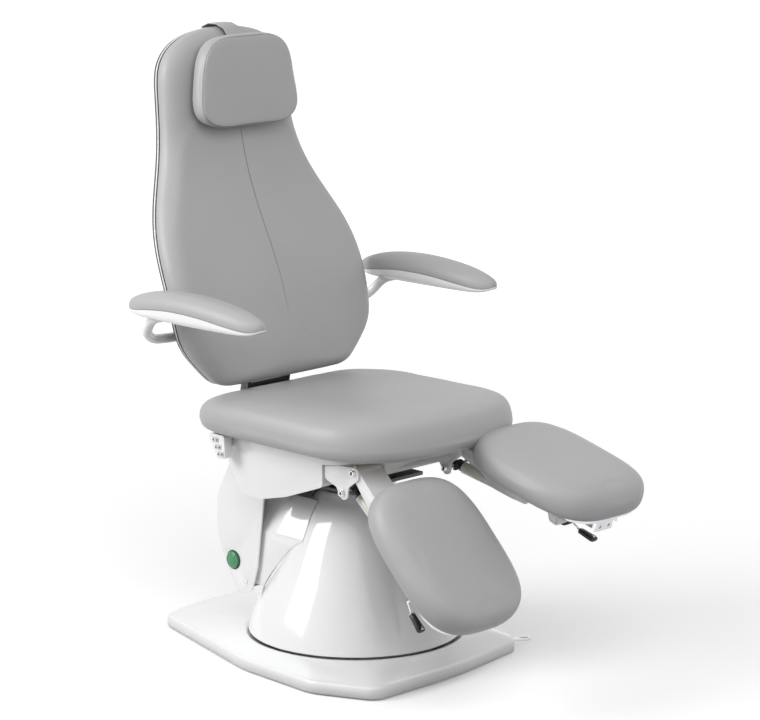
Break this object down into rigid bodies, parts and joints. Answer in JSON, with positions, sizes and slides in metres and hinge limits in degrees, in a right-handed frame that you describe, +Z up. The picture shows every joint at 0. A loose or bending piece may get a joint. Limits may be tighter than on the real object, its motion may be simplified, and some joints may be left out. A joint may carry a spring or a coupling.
{
  "type": "pedicure spa chair",
  "caption": "Pedicure spa chair: swivelling cone base, lifting and tilting seat, reclining back with headrest, folding armrests, separate leg rests",
  "frame": {"origin": "the swivel axis at floor level", "axes": "+Z up, the sitter faces -Y, the sitter's right is -X"},
  "size_m": [0.778, 1.0913, 1.353],
  "materials": {
    "white_shell": "high gloss",
    "white_enamel": "gloss",
    "frame_steel": "satin",
    "grey_leatherette": "smooth matte",
    "board": "plain",
    "board_cover": "matte",
    "bright_steel": "brushed",
    "chrome": "polished",
    "motor_black": "matte",
    "black_plastic": "satin",
    "green_button": "gloss",
    "cream_plastic": "satin",
    "key_grey": "matte",
    "black_rubber": "matte"
  },
  "bodies": {
    "base": {"rubber_feet": "black_rubber", "base_plate": "frame_steel", "base_cover": "white_shell", "turntable_lower": "bright_steel"},
    "pedal": {"lock_pedal": "chrome"},
    "turret": {"turntable_upper": "bright_steel", "outer_column": "bright_steel", "cone_cover": "white_shell", "lift_actuator": "motor_black", "rear_housing": "white_shell"},
    "carriage": {"inner_column": "bright_steel", "lift_rod": "bright_steel", "carriage_frame": "frame_steel", "rear_shell": "white_shell", "control_box": "motor_black", "shell_screws": "chrome", "tilt_actuator": "motor_black"},
    "button": {"mains_button": "green_button"},
    "tilt_push_rod": {"tilt_rod": "bright_steel"},
    "seat": {"seat_frame": "frame_steel", "seat_tray": "white_shell", "seat_board": "board", "seat_cushion": "grey_leatherette", "front_crossbar": "white_enamel", "leg_brackets": "white_enamel", "pivot_bolts": "chrome", "back_actuator": "motor_black", "handset_holder": "white_shell"},
    "back_pull_rod": {"back_rod": "bright_steel"},
    "hand_control": {"handset": "white_shell"},
    "rocker_lift": {"key_lift": "key_grey"},
    "rocker_tilt": {"key_tilt": "key_grey"},
    "rocker_back": {"key_back": "key_grey"},
    "back": {"back_frame": "frame_steel", "back_board": "board_cover", "back_cushion": "grey_leatherette", "headrest_strap": "grey_leatherette"},
    "headrest": {"headrest_cushion": "grey_leatherette"},
    "armrest_right": {"armrest_tube_right": "white_enamel", "armrest_plate_right": "white_shell", "armrest_pad_right": "grey_leatherette"},
    "armrest_left": {"armrest_tube_left": "white_enamel", "armrest_plate_left": "white_shell", "armrest_pad_left": "grey_leatherette"},
    "leg_right": {"leg_plate_right": "white_enamel"},
    "leg_pad_right": {"leg_slide_right": "chrome", "leg_cushion_right": "grey_leatherette"},
    "gas_body_right": {"gas_spring_right": "motor_black", "spring_cover_right": "cream_plastic"},
    "gas_piston_right": {"gas_rod_right": "motor_black"},
    "lever_right": {"release_lever_right": "chrome"},
    "knob_right": {"clamp_knob_right": "black_plastic"},
    "leg_left": {"leg_plate_left": "white_enamel"},
    "leg_pad_left": {"leg_slide_left": "chrome", "leg_cushion_left": "grey_leatherette"},
    "gas_body_left": {"gas_spring_left": "motor_black", "spring_cover_left": "cream_plastic"},
    "gas_piston_left": {"gas_rod_left": "motor_black"},
    "lever_left": {"release_lever_left": "chrome"},
    "knob_left": {"clamp_knob_left": "black_plastic"}
  },
  "joints": [
    {"name": "swivel_lock", "type": "hinge", "parent": "base", "child": "pedal", "pos_m": [0.20349, -0.18626, 0.0195], "axis": [0.5299, 0.848, 0], "range_deg": [0, 6], "stiffness_Nm_per_rad": 8, "springref_deg": -5.73},
    {"name": "swivel", "type": "hinge", "parent": "base", "child": "turret", "pos_m": [0, 0, 0.04], "axis": [0, 0, 1], "range_deg": [-120, 120]},
    {"name": "lift", "type": "slide", "parent": "turret", "child": "carriage", "axis": [0, 0, 1], "range_m": [0, 0.25]},
    {"name": "mains_push", "type": "slide", "parent": "carriage", "child": "button", "axis": [1, 0, 0], "range_m": [0, 0.003], "stiffness_N_per_m": 600, "springref_m": -0.001},
    {"name": "tilt", "type": "hinge", "parent": "carriage", "child": "seat", "pos_m": [0, 0.15, 0.44], "axis": [-1, 0, 0], "range_deg": [0, 12]},
    {"name": "tilt_rod_travel", "type": "slide", "parent": "carriage", "child": "tilt_push_rod", "axis": [0, 0, 1], "range_m": [0, 0.0436]},
    {"name": "recline", "type": "hinge", "parent": "seat", "child": "back", "pos_m": [0, 0.285, 0.52], "axis": [-1, 0, 0], "range_deg": [0, 72]},
    {"name": "back_rod_travel", "type": "slide", "parent": "seat", "child": "back_pull_rod", "axis": [0, -1, 0], "range_m": [0, 0.0704]},
    {"name": "handset_lift_off", "type": "slide", "parent": "seat", "child": "hand_control", "axis": [-1, 0, 0], "range_m": [0, 0.05]},
    {"name": "lift_key_rock", "type": "hinge", "parent": "hand_control", "child": "rocker_lift", "pos_m": [-0.2357, 0.19, 0.487], "axis": [0, 0, 1], "range_deg": [-4, 4], "stiffness_Nm_per_rad": 0.4},
    {"name": "tilt_key_rock", "type": "hinge", "parent": "hand_control", "child": "rocker_tilt", "pos_m": [-0.2357, 0.182, 0.472], "axis": [0, 0, 1], "range_deg": [-4, 4], "stiffness_Nm_per_rad": 0.4},
    {"name": "back_key_rock", "type": "hinge", "parent": "hand_control", "child": "rocker_back", "pos_m": [-0.2357, 0.174, 0.4575], "axis": [0, 0, 1], "range_deg": [-4, 4], "stiffness_Nm_per_rad": 0.4},
    {"name": "headrest_height", "type": "slide", "parent": "back", "child": "headrest", "axis": [0, 0.28, 0.96], "range_m": [-0.1, 0]},
    {"name": "armrest_fold_right", "type": "hinge", "parent": "back", "child": "armrest_right", "pos_m": [-0.2, 0.318, 0.695], "axis": [-1, 0, 0], "range_deg": [0, 100]},
    {"name": "armrest_fold_left", "type": "hinge", "parent": "back", "child": "armrest_left", "pos_m": [0.2, 0.318, 0.695], "axis": [-1, 0, 0], "range_deg": [0, 100]},
    {"name": "leg_angle_right", "type": "hinge", "parent": "seat", "child": "leg_right", "pos_m": [-0.156, -0.19, 0.472], "axis": [1, 0, 0], "range_deg": [-37.7, 16.3]},
    {"name": "leg_extend_right", "type": "slide", "parent": "leg_right", "child": "leg_pad_right", "axis": [0, -0.6984, -0.7157], "range_m": [0, 0.12]},
    {"name": "gas_spring_angle_right", "type": "hinge", "parent": "seat", "child": "gas_body_right", "pos_m": [-0.156, -0.158, 0.4235], "axis": [1, 0, 0], "range_deg": [-37.4, 16.4]},
    {"name": "gas_rod_travel_right", "type": "slide", "parent": "gas_body_right", "child": "gas_piston_right", "axis": [0, -0.7646, -0.6445], "range_m": [-0.01643, 0.03735]},
    {"name": "release_right", "type": "hinge", "parent": "leg_right", "child": "lever_right", "pos_m": [-0.1975, -0.37667, 0.23919], "axis": [-1, 0, 0], "range_deg": [0, 12], "stiffness_Nm_per_rad": 1.5, "springref_deg": -8.59},
    {"name": "clamp_right", "type": "hinge", "parent": "leg_right", "child": "knob_right", "pos_m": [-0.204, -0.35382, 0.30771], "axis": [-1, 0, 0], "range_deg": [-90, 90]},
    {"name": "leg_angle_left", "type": "hinge", "parent": "seat", "child": "leg_left", "pos_m": [0.156, -0.19, 0.472], "axis": [1, 0, 0], "range_deg": [-7.3, 46.7]},
    {"name": "leg_extend_left", "type": "slide", "parent": "leg_left", "child": "leg_pad_left", "axis": [0, -0.9646, -0.2639], "range_m": [0, 0.12]},
    {"name": "gas_spring_angle_left", "type": "hinge", "parent": "seat", "child": "gas_body_left", "pos_m": [0.156, -0.158, 0.4235], "axis": [1, 0, 0], "range_deg": [-7.5, 46.5]},
    {"name": "gas_rod_travel_left", "type": "slide", "parent": "gas_body_left", "child": "gas_piston_left", "axis": [0, -0.9831, -0.183], "range_m": [-0.04655, 0.0077]},
    {"name": "release_left", "type": "hinge", "parent": "leg_left", "child": "lever_left", "pos_m": [0.1975, -0.46882, 0.36566], "axis": [-1, 0, 0], "range_deg": [0, 12], "stiffness_Nm_per_rad": 1.5, "springref_deg": -8.59},
    {"name": "clamp_left", "type": "hinge", "parent": "leg_left", "child": "knob_left", "pos_m": [0.108, -0.41444, 0.41319], "axis": [-1, 0, 0], "range_deg": [-90, 90]}
  ],
  "couplings": [
    {"joint": "tilt_rod_travel", "follows": "tilt", "m_per_rad": 0.2075},
    {"joint": "back_rod_travel", "follows": "recline", "m_per_rad": 0.0558},
    {"joint": "gas_spring_angle_right", "follows": "leg_angle_right", "ratio": 0.985},
    {"joint": "gas_rod_travel_right", "follows": "leg_angle_right", "m_per_rad": -0.056},
    {"joint": "gas_spring_angle_left", "follows": "leg_angle_left", "ratio": 0.99},
    {"joint": "gas_rod_travel_left", "follows": "leg_angle_left", "m_per_rad": -0.0565}
  ]
}
